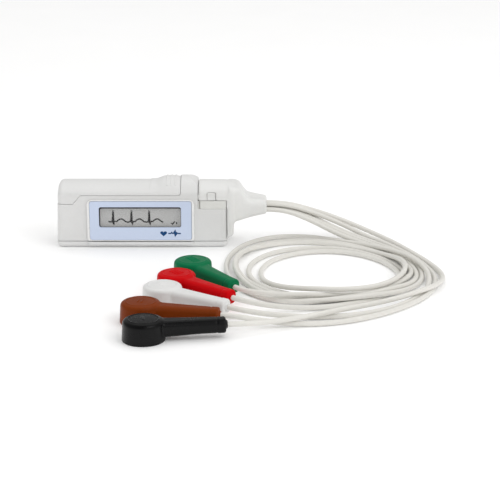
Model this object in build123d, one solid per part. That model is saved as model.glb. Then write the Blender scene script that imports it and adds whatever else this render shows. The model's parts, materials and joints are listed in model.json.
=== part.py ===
from build123d import *
import math
import os

# Pocket ambulatory ECG recorder with a plugged-in five-wire patient lead set.
# Millimetres, +Z up. The recorder stands on its long narrow bottom side, its
# display faces -Y, and the origin is at the middle of that bottom side.

# ---------------------------------------------------------------- dimensions
LEN = 64.0            # recorder length along X
DEPTH = 19.0          # overall depth along Y, display frame included
CASE_D = 18.0         # depth of the moulded case
XL, XR = -LEN / 2, LEN / 2
DRAFT_L = 0.03         # the left end leans in by this much per mm of height
YB = DEPTH / 2        # back face
YF = YB - CASE_D      # front face of the case
YC = (YF + YB) / 2    # middle of the case depth
YFRAME = -DEPTH / 2   # front of the display frame
WALL = 1.2
Z_COVER = 2.35        # top of the bottom cover
SEAM = 0.16           # open seam under the battery door and over the cover
GAP = 0.24            # open seam over the bottom cover
Z_SEAM = 20.2         # door seam at the front
Z_SEAM_L = 16.9       # door seam at the left end
Z_DOOR = 23.9         # crown of the door
Z_GRIP = 25.5         # crown of the thumb grip
Z_HUMP = 25.7         # crown of the case hump, the highest point
Z_SHOULDER = 20.9     # where the arched top meets the upright sides
ARCH_R = 15.0         # radius of the arched door
X_DOOR = 14.6         # right end of the door
X_HUMP = 14.75        # left end of the hump
X_STEP = 21.05        # wall of the step that takes the plug
Z_STEP = 15.0         # top of the low right-hand block

FRAME_X = (-20.6, 19.8)
FRAME_Z = (2.55, 18.75)
PANEL_X = (-19.4, 18.7)
PANEL_Z = (3.2, 18.1)
LCD_X = (-15.95, 14.8)
LCD_Z = (8.0, 15.9)

CELL_R = 5.25         # AAA cell
CELL_L = 44.5
CELL_Y, CELL_Z = YC + 1.0, 16.4
CELL_X0 = -30.3

KEY_R = 2.25
KEY_TRAVEL = 0.5
LATCH_TRAVEL = 0.6
DOOR_TRAVEL = 50.0
PLUG_TRAVEL = 15.0

WIRE_D = 1.8
PLUG_END = 46.9
SNAP_R = 2.02         # bore of the snap socket, takes a 4 mm stud
CLIP_R = 6.9          # radius of the clip head
CLIP_H = 7.2
STEM_R = 2.7
STEM_Z = 4.0

os.makedirs("parts", exist_ok=True)


# ------------------------------------------------------------------- helpers
def bx(x0, x1, y0, y1, z0, z1):
    return Pos((x0 + x1) / 2, (y0 + y1) / 2, (z0 + z1) / 2) * Box(x1 - x0, y1 - y0, z1 - z0)


def cyl_z(x, y, z0, z1, r):
    return Pos(x, y, (z0 + z1) / 2) * Cylinder(r, z1 - z0)


def cyl_x(x0, x1, y, z, r):
    return Pos((x0 + x1) / 2, y, z) * (Rot(0, 90, 0) * Cylinder(r, x1 - x0))


def cyl_y(x, y0, y1, z, r):
    return Pos(x, (y0 + y1) / 2, z) * (Rot(90, 0, 0) * Cylinder(r, y1 - y0))


def rbx(x0, x1, y0, y1, z0, z1, r, axis=Axis.Y):
    b = bx(x0, x1, y0, y1, z0, z1)
    return fillet(b.edges().filter_by(axis), r)


def xz_prism(points, y0, y1, rounds=()):
    """Prism along Y from an outline in XZ; rounds lists ((x, z), radius) of its corners."""
    face = make_face(Polyline(*[(x, y0, z) for x, z in points], close=True))
    for (x, z), r in rounds:
        corner = [v for v in face.vertices() if abs(v.X - x) < 1e-3 and abs(v.Z - z) < 1e-3]
        face = fillet(corner, r)
    return extrude(face, amount=y1 - y0, dir=(0, 1, 0))


def arch_face(x, crown, z_low, y0=YF, y1=YB, shoulder=1.6, z_side=Z_SHOULDER):
    """Section across X: upright sides up to z_side, then one arc over the crown."""
    ym = (y0 + y1) / 2
    wire = (Line((x, y0, z_low), (x, y1, z_low)) + Line((x, y1, z_low), (x, y1, z_side))
            + ThreePointArc((x, y1, z_side), (x, ym, crown), (x, y0, z_side))
            + Line((x, y0, z_side), (x, y0, z_low)))
    face = make_face(wire)
    if shoulder:
        face = fillet([v for v in face.vertices() if v.Z > z_side - 0.01], shoulder)
    return face


def arch_prism(x0, x1, crown, z_low, y0=YF, y1=YB, shoulder=1.6, z_side=Z_SHOULDER):
    return extrude(arch_face(x0, crown, z_low, y0, y1, shoulder, z_side), amount=x1 - x0, dir=(1, 0, 0))


def envelope():
    """Outside of the case seen from above, with rounded corners; the left end leans in."""
    def at(z):
        xl = XL + DRAFT_L * z
        return Plane(origin=((xl + XR) / 2, YC, z)) * RectangleRounded(XR - xl, CASE_D, 1.6)
    return loft([at(0), at(30)])


def soften(shape, edges, radius):
    """Round the edges with the largest radius that holds."""
    for r in (radius, radius * 0.8, radius * 0.6, radius * 0.4, radius * 0.2):
        try:
            out = fillet(edges, r)
            if out.is_valid and out.volume > 0:
                return out
        except Exception:
            continue
    print("an edge was left sharp at radius", radius)
    return shape


def near(edges, test):
    return [e for e in edges if test(e.center(), e.bounding_box())]


def save(name, shape):
    shape.label = name
    export_step(shape, "parts/" + name + ".step")


# Clip heads: middle of the head, end of the stem
CLIPS = {
    "green": ((20.42, -46.26), (35.20, -67.88)),
    "red": ((15.28, -61.25), (34.46, -79.10)),
    "white": ((11.18, -74.41), (33.06, -88.82)),
    "brown": ((5.01, -91.80), (30.70, -96.95)),
    "black": ((6.94, -108.96), (32.96, -105.88)),
}

# Wire routes from the plug to the clip, as they lie on the table
ROUTES = {
    "black": [
        (46.90, 1.00, 14.95), (53.40, 1.00, 14.90), (63.08, 4.10, 11.67), (74.95, 7.17, 6.84),
        (86.45, 5.47, 2.25), (94.44, -3.66, 0.88), (99.84, -16.16, 0.91), (104.97, -28.73, 0.90),
        (108.73, -41.44, 0.90), (108.21, -54.38, 1.88), (102.20, -65.86, 3.09), (92.17, -74.54, 2.74),
        (80.76, -81.32, 2.33), (69.81, -88.40, 2.87), (58.86, -95.41, 2.95), (47.41, -100.66, 3.08),
        (38.13, -105.14, 3.90), (32.96, -105.88, 4.10),
    ],
    "brown": [
        (46.90, -1.00, 14.95), (53.40, -1.00, 14.90), (63.64, 2.14, 11.18), (74.95, 4.84, 5.76),
        (85.16, 1.77, 1.31), (92.98, -7.92, 0.86), (98.96, -20.15, 0.95), (103.62, -32.74, 0.90),
        (106.16, -45.50, 0.90), (104.90, -58.32, 0.90), (99.66, -70.43, 0.90), (91.20, -80.91, 0.90),
        (80.90, -89.50, 0.90), (69.37, -95.40, 0.92), (56.88, -97.17, 0.87), (44.87, -96.38, 1.84),
        (35.86, -97.61, 3.90), (30.70, -96.95, 4.10),
    ],
    "white": [
        (46.90, 2.00, 13.05), (53.40, 2.00, 13.00), (62.40, 3.44, 9.63), (74.01, 3.09, 3.95),
        (85.17, -2.54, 0.89), (93.60, -13.32, 0.90), (99.34, -26.29, 0.90), (102.18, -39.95, 0.90),
        (100.66, -53.27, 0.89), (93.70, -64.86, 1.45), (82.41, -73.39, 2.91), (68.81, -77.57, 2.74),
        (55.28, -76.60, 1.29), (44.01, -69.86, 0.89), (36.42, -58.73, 0.91), (32.53, -45.46, 0.90),
        (31.78, -31.45, 0.90), (34.02, -17.51, 0.90), (39.91, -5.09, 0.90), (49.89, 2.85, 0.90),
        (62.07, 3.30, 0.90), (74.17, -2.71, 0.90), (84.89, -11.92, 1.91), (93.91, -22.81, 3.08),
        (100.97, -34.79, 3.21), (104.08, -47.79, 2.09), (102.04, -60.87, 0.90), (95.73, -72.80, 0.90),
        (86.45, -82.57, 0.90), (74.57, -88.44, 0.90), (61.04, -90.19, 0.89), (47.76, -90.70, 1.91),
        (37.50, -91.56, 3.90), (33.06, -88.82, 4.10),
    ],
    "green": [
        (46.90, 0.00, 13.05), (53.40, 0.00, 13.00), (63.19, 1.49, 9.00), (74.91, 0.79, 3.21),
        (85.38, -5.42, 0.84), (93.17, -16.67, 0.95), (98.42, -30.11, 0.90), (100.28, -44.01, 0.90),
        (97.09, -56.94, 1.67), (88.17, -67.39, 3.02), (75.38, -74.23, 2.56), (61.56, -75.51, 1.32),
        (49.30, -69.64, 0.83), (40.25, -58.65, 1.01), (35.25, -45.19, 2.18), (35.03, -30.81, 3.09),
        (39.55, -17.41, 2.06), (48.54, -7.50, 0.90), (60.81, -3.96, 0.90), (73.49, -7.56, 0.89),
        (84.23, -16.22, 0.98), (92.02, -27.83, 2.65), (95.88, -41.14, 4.87), (94.57, -54.95, 5.03),
        (87.29, -66.57, 4.50), (75.40, -73.07, 4.76), (62.23, -72.38, 4.75), (51.25, -64.78, 2.85),
        (44.85, -52.57, 1.12), (44.13, -38.46, 0.89), (49.60, -25.57, 0.91), (60.40, -17.22, 0.90),
        (73.51, -16.16, 0.90), (84.96, -22.97, 0.90), (92.28, -35.09, 0.90), (94.41, -48.84, 0.91),
        (89.46, -60.97, 0.88), (78.37, -69.15, 1.65), (64.64, -73.40, 2.98), (49.98, -74.41, 3.50),
        (38.31, -72.06, 3.90), (35.20, -67.88, 4.10),
    ],
    "red": [
        (46.90, -2.00, 13.05), (53.40, -2.00, 13.00), (63.21, -0.51, 8.66), (74.52, -1.13, 2.77),
        (84.51, -7.45, 0.87), (92.00, -18.73, 0.91), (96.91, -32.06, 0.88), (98.31, -45.61, 2.10),
        (93.83, -58.08, 3.13), (84.22, -68.08, 2.04), (71.74, -73.69, 0.87), (58.55, -72.63, 0.91),
        (47.45, -65.10, 0.90), (39.88, -53.31, 0.90), (35.79, -39.49, 0.90), (35.35, -25.27, 0.90),
        (40.09, -12.44, 0.90), (50.08, -3.87, 0.90), (63.12, -2.02, 0.90), (76.24, -6.82, 0.90),
        (87.17, -16.49, 0.89), (94.50, -29.14, 1.74), (96.58, -42.94, 3.00), (91.86, -55.50, 2.89),
        (81.98, -64.85, 1.66), (69.53, -69.99, 0.90), (56.71, -68.77, 0.90), (46.12, -60.67, 0.90),
        (40.21, -47.94, 0.90), (40.07, -33.70, 0.90), (45.88, -20.99, 0.90), (56.62, -12.91, 0.90),
        (69.82, -11.86, 0.90), (82.28, -17.93, 0.90), (91.62, -28.92, 0.90), (96.13, -42.39, 0.90),
        (94.82, -55.92, 0.90), (87.53, -67.39, 0.90), (76.38, -75.84, 0.90), (63.16, -81.15, 0.90),
        (49.51, -82.72, 1.91), (38.40, -82.52, 3.90), (34.46, -79.10, 4.10),
    ],
}

# ------------------------------------------------------------------ main case
side_outline = [(XL - 1, Z_COVER + GAP), (XR + 1, Z_COVER + GAP), (XR + 1, Z_STEP), (X_STEP, Z_STEP), (X_STEP, 23.3),
                (17.9, Z_HUMP), (X_HUMP, Z_HUMP), (X_HUMP, Z_SEAM - SEAM),
                (-22.7, Z_SEAM - SEAM), (-25.7, Z_SEAM_L - SEAM), (XL - 1, Z_SEAM_L - SEAM)]
case = xz_prism(side_outline, YF, YB, [((17.9, Z_HUMP), 1.6), ((X_STEP, 23.3), 0.8), ((X_HUMP, Z_SEAM - SEAM), 1.2)])
case = case & arch_prism(XL - 1, XR + 1, Z_HUMP, 0) & envelope()
case = soften(case, near(case.edges(), lambda c, b: abs(c.Z - Z_STEP) < 0.01 and c.X > X_STEP + 0.2), 0.5)
# inside: electronics bay, cell bay, key and window openings
inner_y0, inner_y1 = YF + WALL, YB - WALL
case -= bx(XL + WALL, 19.4, inner_y0, inner_y1, Z_COVER - 1, 12.6)
case -= bx(19.4 - 0.01, XR - WALL, inner_y0, inner_y1, Z_COVER - 1, Z_STEP - WALL)
case -= bx(XL + WALL, X_HUMP - 0.9, inner_y0, inner_y1, 12.6 - 0.01, 30)
case -= cyl_x(X_HUMP - 1, 18.2, CELL_Y, CELL_Z, 5.9)
case -= bx(X_HUMP - 1, 18.2, CELL_Y - 5.9, CELL_Y + 5.9, 11.0, CELL_Z)
case -= bx(X_HUMP - 1, 17.4, inner_y0, inner_y0 + 2.7, 12.0, 17.4)
# rail grooves for the door
case -= bx(-26, X_DOOR + 0.1, inner_y0 - 0.5, inner_y0 + 0.1, 18.6, 19.7)
case -= bx(-26, X_DOOR + 0.1, inner_y1 - 0.1, inner_y1 + 0.5, 18.6, 19.7)
# display window opening
case -= rbx(LCD_X[0] - 0.8, LCD_X[1] + 0.8, YF - 1, inner_y0 + 0.5, LCD_Z[0] - 0.8, LCD_Z[1] + 0.8, 0.9)
# key holes and the label recess in the back
KEY_X, KEY_Z = (-7.0, 7.0), 7.6
for kx in KEY_X:
    case -= cyl_y(kx, inner_y1 - 1, YB + 1, KEY_Z, KEY_R + 0.1)
LABEL = (-14.0, 14.0, 12.0, 18.0)
case -= rbx(LABEL[0], LABEL[1], YB - 0.25, YB + 1, LABEL[2], LABEL[3], 0.8)
# pocket in the step wall for the root of the receptacle
TONGUE_Y = (YC - 6.5, YC + 6.5)
case -= bx(19.0, X_STEP + 0.1, TONGUE_Y[0], TONGUE_Y[1], Z_STEP, 17.5)
# screw bosses
BOSSES = [(-28.0, YC - 5.2), (-28.0, YC + 5.2), (28.0, YC - 5.2), (28.0, YC + 5.2)]
for px, py in BOSSES:
    post = cyl_z(px, py, 2.75, 7.4, 1.9)
    case += post + bx(min(px, px + math.copysign(3.0, px)), max(px, px + math.copysign(3.0, px)), py - 0.5, py + 0.5, 2.75, 7.4)
    case -= cyl_z(px, py, 2.7, 6.0, 1.3)
save("main_case", case)

# --------------------------------------------------------------- bottom cover
# the underside turns up into the walls in a wide round
def cover_face(z, inset):
    xl = XL + DRAFT_L * z
    return Plane(origin=((xl + XR) / 2, YC, z)) * RectangleRounded(XR - xl - 2 * inset, CASE_D - 2 * inset, 1.6)


TURN_C = 1.55
rings = [cover_face(TURN_C * (1 - math.cos(math.radians(a))), TURN_C * (1 - math.sin(math.radians(a)))) for a in (0, 22, 45, 68, 90)]
cover = loft(rings) + loft([cover_face(TURN_C, 0), cover_face(Z_COVER, 0)])
cover = soften(cover, near(cover.edges(), lambda c, b: b.min.Z > Z_COVER - 0.01), 0.2)
# lip that carries the display frame's outline on down
lip = xz_prism([(FRAME_X[0], Z_COVER), (FRAME_X[0] + 1.2, 1.15), (FRAME_X[1] - 1.2, 1.15), (FRAME_X[1], Z_COVER)], YFRAME + 0.1, YF + 0.5,
               [((FRAME_X[0] + 1.2, 1.15), 0.8), ((FRAME_X[1] - 1.2, 1.15), 0.8)])
lip = soften(lip, near(lip.edges(), lambda c, b: b.max.Y < YFRAME + 0.11 and c.Z < Z_COVER - 0.1), 0.6)
cover += lip
cover -= bx(XL + 2.0, XR - 2.0, YF + 2.0, YB - 2.0, WALL, Z_COVER + 1)
cover -= bx(XL + WALL, XR - WALL, inner_y0, inner_y1, 2.0, Z_COVER + 1)
for px, py in BOSSES:
    cover += cyl_z(px, py, WALL - 0.1, 2.7, 1.85)
    cover -= cyl_z(px, py, -1, 3, 0.85) + cyl_z(px, py, -1, 1.25, 1.5)
save("bottom_cover", cover)

seal = bx(XL + WALL, XR - WALL, inner_y0, inner_y1, 2.0, 2.7) - bx(XL + WALL + 0.7, XR - WALL - 0.7, inner_y0 + 0.7, inner_y1 - 0.7, 1, 3)
# the seal stays clear of the ribs that tie the bosses to the end walls
save("case_seal", seal)

screws, inserts = [], []
for px, py in BOSSES:
    s = cyl_z(px, py, 0.3, 1.25, 1.35) + cyl_z(px, py, 1.2, 5.6, 0.8)
    s -= bx(px - 0.9, px + 0.9, py - 0.15, py + 0.15, 0, 0.7) + bx(px - 0.15, px + 0.15, py - 0.9, py + 0.9, 0, 0.7)
    screws.append(s)
    inserts.append(cyl_z(px, py, 2.85, 5.9, 1.3) - cyl_z(px, py, 2, 7, 0.82))
save("cover_screws", Compound(children=screws))
save("case_inserts", Compound(children=inserts))

# ------------------------------------------------------------- display stack
ring = xz_prism([(FRAME_X[0], FRAME_Z[0]), (FRAME_X[1], FRAME_Z[0]), (FRAME_X[1], FRAME_Z[1]), (FRAME_X[0], FRAME_Z[1])], YFRAME, YF,
                [((FRAME_X[0], FRAME_Z[1]), 2.0), ((FRAME_X[1], FRAME_Z[1]), 2.0)])
ring = soften(ring, near(ring.edges(), lambda c, b: b.max.Y < YFRAME + 0.01 and c.Z > FRAME_Z[0] + 0.1), 0.75)
ring -= rbx(PANEL_X[0] - 0.1, PANEL_X[1] + 0.1, YFRAME - 1, YF + 1, PANEL_Z[0] - 0.1, PANEL_Z[1] + 0.1, 0.9)
save("display_frame", ring)

panel = rbx(PANEL_X[0], PANEL_X[1], YFRAME + 0.2, YF, PANEL_Z[0], PANEL_Z[1], 0.9)
panel -= rbx(LCD_X[0], LCD_X[1], YFRAME - 1, YF + 1, LCD_Z[0], LCD_Z[1], 0.8)
save("front_panel", panel)

window = rbx(LCD_X[0] - 0.8, LCD_X[1] + 0.8, YF, YF + 0.8, LCD_Z[0] - 0.8, LCD_Z[1] + 0.8, 0.9)
save("lcd_window", window)

glass = bx(LCD_X[0] - 1.1, LCD_X[1] + 1.1, inner_y0, inner_y0 + 1.2, 6.6, 17.0)
glass = soften(glass, glass.edges().filter_by(Axis.Y), 0.3)
save("lcd_module", glass)

hy0 = inner_y0 + 1.2
holder = bx(LCD_X[0] - 2.0, LCD_X[1] + 2.0, hy0, hy0 + 1.3, 6.15, 17.2)
holder -= bx(LCD_X[0] - 0.2, LCD_X[1] + 0.2, hy0 - 1, hy0 + 0.8, 7.4, 16.2)
save("lcd_holder", holder)
save("lcd_backlight", bx(LCD_X[0], LCD_X[1], hy0, hy0 + 0.7, 7.6, 16.0))
strips = [bx(LCD_X[0], LCD_X[1], inner_y0 + a, inner_y0 + a + 0.45, 6.0, 6.6) for a in (0.1, 0.7)]
save("contact_strips", Compound(children=strips))

# ---------------------------------------------------------------- electronics
board = bx(-25.8, 19.2, inner_y0 + 0.1, 5.2, 4.8, 6.0)
board = soften(board, board.edges().filter_by(Axis.Z), 0.8)
save("main_board", board)
# standoffs that carry the board on the bottom cover
posts = [cyl_z(x, y, WALL, 4.8, 1.2) for x in (-22.0, 15.5) for y in (-4.5, 3.2)]
save("board_standoffs", Compound(children=posts))
chips = [bx(-21, -14, -4.2, 2.8, 6.0, 7.0), bx(-10.5, -5.5, -3.6, 1.4, 6.0, 6.9),
         bx(-1, 6, -3.4, 0.8, 6.0, 7.1), bx(9.5, 15.5, -4.4, 3.6, 6.0, 6.9)]
save("board_chips", Compound(children=chips))
parts_small = [bx(x, x + 1.0, y, y + 0.5, 6.0, 6.5) for x in (-12.9, -3.6, 7.4, 16.6) for y in (-3.5, -1.8, 0.0, 1.8)]
save("board_passives", Compound(children=parts_small))

button_board = bx(-11, 11, 5.3, 6.1, 3.8, 9.8)
save("button_board", button_board)
pads = [cyl_y(kx, 6.1, 6.55, KEY_Z, 1.9) + cyl_y(kx, 6.5, 6.8, KEY_Z, 1.1) for kx in KEY_X]
save("button_pads", Compound(children=pads))
for name, kx in (("event_button", KEY_X[0]), ("menu_button", KEY_X[1])):
    key = cyl_y(kx, 7.6, YB - 0.15, KEY_Z, KEY_R)
    key = soften(key, near(key.edges(), lambda c, b: c.Y > YB - 0.3), 0.25)
    key += cyl_y(kx, 7.45, 8.2, KEY_Z, KEY_R + 0.55)
    if name == "event_button":
        key += cyl_y(kx, YB - 0.3, YB, KEY_Z, 0.5)
    save(name, key)

# ------------------------------------------------------------------- battery
CELL_X1 = CELL_X0 + CELL_L
cell = cyl_x(CELL_X0 + 0.8, CELL_X1, CELL_Y, CELL_Z, CELL_R)
cell = soften(cell, cell.edges(), 0.5)
cell += cyl_x(CELL_X0, CELL_X0 + 1.0, CELL_Y, CELL_Z, 1.9)
save("battery_cell", cell)
coil_pts = []
SPRING_X1 = 17.6
turns, r_small, r_big = 3.0, 2.0, 3.6
coil_end = cyl_x(CELL_X1, CELL_X1 + 0.5, CELL_Y, CELL_Z, r_small + 0.25) - cyl_x(CELL_X1 - 1, CELL_X1 + 1, CELL_Y, CELL_Z, r_small - 0.25)
rings = [coil_end]
for k in range(4):
    xa = CELL_X1 + 0.5 + 0.6 * k
    r0 = r_small + (r_big - r_small) * k / 3
    r1 = r_small + (r_big - r_small) * (k + 1) / 3
    rings.append(cyl_x(xa, xa + 0.75 if k < 3 else SPRING_X1, CELL_Y, CELL_Z, r0 + 0.45) - cyl_x(xa - 1, SPRING_X1 + 1, CELL_Y, CELL_Z, r0 - 0.25))
spring = rings[0]
for r in rings[1:]:
    spring += r
save("battery_spring", spring)
plate = bx(17.6, 18.0, CELL_Y - 4.2, CELL_Y + 4.2, 12.4, 20.4)
save("spring_plate", plate)
tab = bx(XL + WALL, XL + WALL + 0.4, CELL_Y - 3, CELL_Y + 3, 9.9, 18.3)
save("battery_contact", tab)
cradle = bx(XL + WALL + 0.4, 17.9, CELL_Y - 4.9, CELL_Y + 4.9, 9.9, 12.3)
cradle -= cyl_x(XL, 20, CELL_Y, CELL_Z, CELL_R + 0.15)
cradle -= bx(-24, -20, -20, 20, 10.9, 14) + bx(8, 12, -20, 20, 10.9, 14)
cradle += bx(XL + WALL + 0.4, -29.0, CELL_Y - 4.9, YB - WALL, 9.9, 10.9)
save("battery_cradle", cradle)
SUPPORT = [bx(x, x + 1.6, YB - WALL - 1.9, YB - WALL, 9.9, 10.9) for x in (-20.0, 14.0)]
cradle_feet = [bx(x, x + 1.6, CELL_Y + 4.9, YB - WALL, 9.9, 10.9) for x in (-20.0, 14.0)]
save("cradle_brackets", Compound(children=cradle_feet))

# -------------------------------------------------------------- battery door
TURN = 1.9
ends = []
for ang in (0, 22, 45, 68, 90):
    s, c = math.sin(math.radians(ang)), math.cos(math.radians(ang))
    d = TURN * (1 - s)
    ends.append(arch_face(XL + 0.55 + TURN * (1 - c), Z_DOOR - d, 15.0, YF + d, YB - d, 1.6 - 0.5 * (1 - s), Z_SHOULDER - 0.7 * d))
door = loft(ends) + arch_prism(XL + 0.55 + TURN, X_DOOR, Z_DOOR, 15)
# thumb grip: the crown climbs in a soft sweep, the sides stay where they are
door += loft([arch_face(x, c, 18) for x, c in ((0.2, 23.8), (3.0, 23.96), (5.0, 24.2), (6.3, 24.55), (7.6, 25.1), (8.8, 25.42),
                                               (10.2, Z_GRIP), (12.4, Z_GRIP), (X_DOOR, Z_GRIP))])
door = door & xz_prism([(XL - 1, Z_SEAM_L), (-25.7, Z_SEAM_L), (-22.7, Z_SEAM), (X_DOOR, Z_SEAM), (X_DOOR, 27), (XL - 1, 27)], YF, YB,
                       [((-25.7, Z_SEAM_L), 0.6), ((-22.7, Z_SEAM), 0.6), ((X_DOOR, Z_SEAM), 1.1)])
door = door & envelope()
door = soften(door, near(door.edges(), lambda c, b: b.min.X > X_DOOR - 0.01 and c.Z > 23), 0.4)
door -= arch_prism(XL + 2.0, X_DOOR + 1, Z_DOOR - WALL, 10, YF + WALL, YB - WALL, 0.6, Z_SHOULDER - 0.5)
door -= bx(XL + 1.15, XL + 2.1, YF + 1.7, YB - 1.7, 10, 19.6)
for rx in (9.5, 11.1, 12.7):
    rib = arch_prism(rx - 0.36, rx + 0.36, Z_GRIP + 0.2, 22, shoulder=0) & bx(rx - 1, rx + 1, YC - 6.5, YC + 6.5, 20, 30)
    rib = rib - arch_prism(rx - 1, rx + 1, Z_GRIP - 0.4, 10, shoulder=0)
    door += soften(rib, near(rib.edges(), lambda c, b: c.Z > Z_GRIP - 0.1 and b.size.Y > 5), 0.2)
# rails that run in the case grooves
for sgn, wall_y in ((1, inner_y0), (-1, inner_y1)):
    y_in = wall_y + sgn * 0.9
    y_gap = wall_y + sgn * 0.12
    y_rib = wall_y - sgn * 0.32
    lo, hi = min(y_in, y_gap), max(y_in, y_gap)
    door += bx(-22.0, X_DOOR - 1.2, lo, hi, 18.8, 21.2)
    lo, hi = min(y_in, y_rib), max(y_in, y_rib)
    door += bx(-22.0, X_DOOR - 1.2, lo, hi, 18.8, 19.5)
save("battery_door", door)
pad = bx(-16, 8, CELL_Y - 1.4, CELL_Y + 1.4, 21.8, 22.6) - cyl_x(-17, 9, CELL_Y, CELL_Z, CELL_R + 0.25)
pad = pad & arch_prism(-17, 9, Z_DOOR - WALL, 10, YF + WALL, YB - WALL, 0.6, Z_SHOULDER - 0.5)
save("door_pad", pad)

save("rear_label", rbx(LABEL[0], LABEL[1], YB - 0.25, YB - 0.02, LABEL[2], LABEL[3], 0.8))

# ---------------------------------------------------------------- receptacle
# connector block: closes the plug's cut-out at the front, carries the pins on top
Z_TONGUE = 18.05
tongue = bx(19.0, 22.4, *TONGUE_Y, Z_STEP, 17.5)
head = bx(22.0, 31.62, YF + 0.12, TONGUE_Y[1], Z_STEP, Z_TONGUE)
head = soften(head, near(head.edges().filter_by(Axis.Y), lambda c, b: c.X < 22.1 and c.Z < 16), 0.6)
flank = extrude(make_face(Polyline((X_STEP + 0.05, YF + 0.25, Z_STEP), (22.4, YF + 1.5, Z_STEP), (22.4, TONGUE_Y[1], Z_STEP), (X_STEP + 0.05, TONGUE_Y[1], Z_STEP), close=True)),
                amount=Z_TONGUE - 0.1 - Z_STEP, dir=(0, 0, 1))
tongue += head + flank
CONTACT_Y = [YC - 4.0, YC - 2.0, YC, YC + 2.0, YC + 4.0]
pins = [bx(22.6, 30.4, y - 0.6, y + 0.6, Z_TONGUE - 0.12, Z_TONGUE + 0.02) for y in CONTACT_Y]
for p in pins:
    tongue -= p
save("receptacle", tongue)
save("receptacle_pins", Compound(children=pins))

# ------------------------------------------------------------- lead-set plug
PX0 = 21.2
Z_PLUG = 23.85
plug_side = [(PX0, 15.15), (PX0, 24.5), (34.5, 24.5), (34.5, 4.9), (33.6, 3.9), (32.1, 3.4), (32.1, 15.15)]
block = xz_prism(plug_side, YF, YB) & arch_prism(PX0, 34.5, Z_PLUG, 0, shoulder=1.6, z_side=20.5)
cap = xz_prism([(PX0, 3.4), (PX0, Z_PLUG), (32.0, Z_PLUG), (34.5, 22.9), (34.5, 3.4)], YF, YB, [((PX0, Z_PLUG), 0.9), ((32.0, Z_PLUG), 1.5)])
block = block & cap
block = soften(block, near(block.edges().filter_by(Axis.Z), lambda c, b: c.X > 34.4 and c.Z < 21), 1.2)


def section(x, y0, y1, z0, z1, r):
    pl = Plane(origin=(x, (y0 + y1) / 2, (z0 + z1) / 2), x_dir=(0, 1, 0), z_dir=(1, 0, 0))
    return pl * RectangleRounded(y1 - y0, z1 - z0, r)


nose = loft([section(33.0, YC - 8.9, YC + 8.9, 9.2, 22.8, 2.6),
             section(36.0, YC - 7.5, YC + 7.5, 9.8, 22.1, 2.6),
             section(37.6, YC - 6.5, YC + 6.5, 10.2, 20.2, 2.4),
             section(39.2, YC - 5.6, YC + 5.6, 10.6, 18.1, 2.1),
             section(42.6, YC - 4.7, YC + 4.7, 11.2, 17.2, 1.9),
             section(PLUG_END, YC - 3.9, YC + 3.9, 11.6, 16.8, 1.5)])
plug = block + nose
# skirt just inside the outline closes most of the gap to the case
plug += bx(X_STEP + 0.04, PX0 + 0.8, YF + 0.6, YB - 0.6, Z_TONGUE + 0.4, 19.8)
# cavity over the connector block, open to the left and through the front
plug -= bx(PX0 - 1, 31.8, TONGUE_Y[0] - 0.25, TONGUE_Y[1] + 0.25, 14.0, Z_TONGUE + 0.13)
plug -= bx(PX0 - 1, 31.8, YF - 1, YC, 14.0, Z_TONGUE + 0.13)
plug -= bx(22.4, 31.81, YC - 5.2, YC + 5.2, Z_TONGUE, 18.8)
# wire chamber and the seat of the strain relief
plug -= bx(34.0, 41.5, YC - 3.0, YC + 3.0, 12.6, 15.6)
RELIEF = (41.5, PLUG_END, YC - 3.1, YC + 3.1, 12.1, 15.95)
plug -= bx(RELIEF[0] - 0.01, RELIEF[1] + 1, *RELIEF[2:])
# seat of the contact carrier
CORE = (32.3, 34.0, YC - 5.6, YC + 5.6, 13.0, 19.2)
plug -= bx(*CORE)
# pockets of the squeeze tabs
TAB = (24.6, 28.2, 18.18, 21.1)
plug -= bx(TAB[0], TAB[1] - 0.45, YF - 1, YF + 2.6, TAB[2] - 0.05, TAB[3])
plug -= bx(TAB[0], TAB[1], YF - 1, YF + 0.5, TAB[2] - 0.05, TAB[3])
plug -= bx(TAB[0], TAB[1] - 0.45, YB - 2.6, YB + 1, TAB[2] + 0.4, TAB[3])
plug -= bx(TAB[0], TAB[1], YB - 0.5, YB + 1, TAB[2] + 0.4, TAB[3])
front_half = plug & bx(0, 80, -20, YC, 0, 40)
rear_half = plug & bx(0, 80, YC, 20, 0, 40)
save("plug_front_shell", front_half)
save("plug_rear_shell", rear_half)
core = bx(*CORE) - bx(33.0, 35, YC - 2.6, YC + 2.6, 13.8, 15.8)
save("plug_core", core)
fingers = [bx(23.5, 31.8, y - 0.5, y + 0.5, 18.5, 18.78) + bx(25.5, 27.5, y - 0.5, y + 0.5, Z_TONGUE + 0.08, 18.6) for y in CONTACT_Y]
save("plug_contacts", Compound(children=fingers))
for name, y_out, sgn, z0 in (("plug_latch_front", YF, 1, TAB[2] + 0.08), ("plug_latch_rear", YB, -1, TAB[2] + 0.5)):
    ya, yb = y_out + sgn * 0.06, y_out + sgn * 1.7
    t = bx(TAB[0] + 0.08, TAB[1] - 0.57, min(ya, yb), max(ya, yb), z0, TAB[3] - 0.08)
    # the face falls away towards the finger gap
    t -= Pos(TAB[0] + 2.1, y_out - sgn * 5.75, 19.7) * Sphere(6.2)
    save(name, t)

# wires: exits in the end face of the strain relief
EXITS = {"black": (1.0, 14.95), "brown": (-1.0, 14.95), "white": (2.0, 13.05), "green": (0.0, 13.05), "red": (-2.0, 13.05)}
relief = bx(RELIEF[0], RELIEF[1], *RELIEF[2:])
save("strain_relief", relief)

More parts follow.
